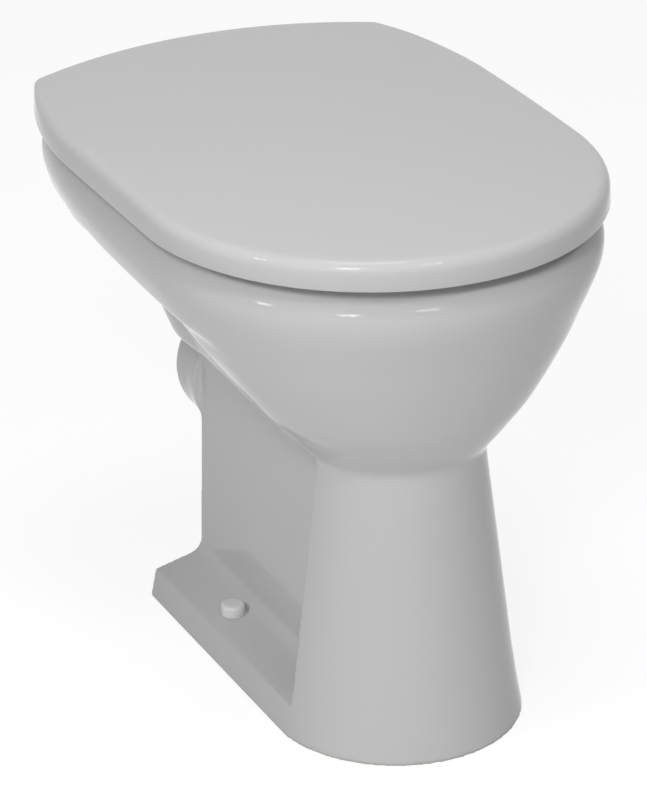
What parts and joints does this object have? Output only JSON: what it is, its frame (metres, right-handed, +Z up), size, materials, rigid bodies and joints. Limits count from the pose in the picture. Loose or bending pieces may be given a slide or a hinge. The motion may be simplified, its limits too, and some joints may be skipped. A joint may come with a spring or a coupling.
{
  "type": "floor-standing toilet",
  "caption": "Floor-standing toilet: glazed pan on a narrow pedestal with rear outlet, hinged seat ring and crowned lid.",
  "frame": {"origin": "on the floor, under the middle of the closed lid", "axes": "+Z up, -Y towards the front tip of the bowl, +X to the right of a person who stands in front of the pan and looks at it"},
  "size_m": [0.36, 0.4946, 0.436],
  "materials": {
    "glaze": "gloss",
    "lid_plastic": "gloss",
    "seat_plastic": "gloss",
    "hinge_plastic": "satin",
    "soft_pad": "matte",
    "steel": "brushed",
    "nylon": "matte",
    "bolt_plastic": "matte",
    "cap_plastic": "gloss",
    "buffer_rubber": "matte"
  },
  "bodies": {
    "pan": {"pan_rim": "glaze", "pan_bowl": "glaze", "pan_rear": "glaze", "pan_outlet": "glaze", "pan_column": "glaze", "pan_web": "glaze", "pan_foot": "glaze", "hinge_bracket_left": "hinge_plastic", "hinge_bracket_right": "hinge_plastic", "bracket_pad_left": "soft_pad", "bracket_pad_right": "soft_pad", "hinge_pin_left": "steel", "hinge_pin_right": "steel", "hinge_bolt_left": "bolt_plastic", "hinge_bolt_right": "bolt_plastic", "bolt_cone_left": "soft_pad", "bolt_cone_right": "soft_pad", "bolt_washer_left": "bolt_plastic", "bolt_washer_right": "bolt_plastic", "wing_nut_left": "bolt_plastic", "wing_nut_right": "bolt_plastic", "foot_cap_left": "cap_plastic", "foot_cap_right": "cap_plastic", "cap_washer_left": "nylon", "cap_washer_right": "nylon"},
    "seat": {"seat_ring": "seat_plastic", "seat_bush_left": "nylon", "seat_bush_right": "nylon", "seat_buffer_front_left": "buffer_rubber", "seat_buffer_front_right": "buffer_rubber", "seat_buffer_rear_left": "buffer_rubber", "seat_buffer_rear_right": "buffer_rubber"},
    "lid": {"lid": "lid_plastic", "lid_bush_left": "nylon", "lid_bush_right": "nylon", "lid_buffer_front_left": "buffer_rubber", "lid_buffer_front_right": "buffer_rubber", "lid_buffer_rear_left": "buffer_rubber", "lid_buffer_rear_right": "buffer_rubber"}
  },
  "joints": [
    {"name": "seat_hinge", "type": "hinge", "parent": "pan", "child": "seat", "pos_m": [0, 0.222, 0.413], "axis": [-1, 0, 0], "range_deg": [0, 95]},
    {"name": "lid_hinge", "type": "hinge", "parent": "seat", "child": "lid", "pos_m": [0, 0.222, 0.413], "axis": [-1, 0, 0], "range_deg": [0, 95]}
  ]
}
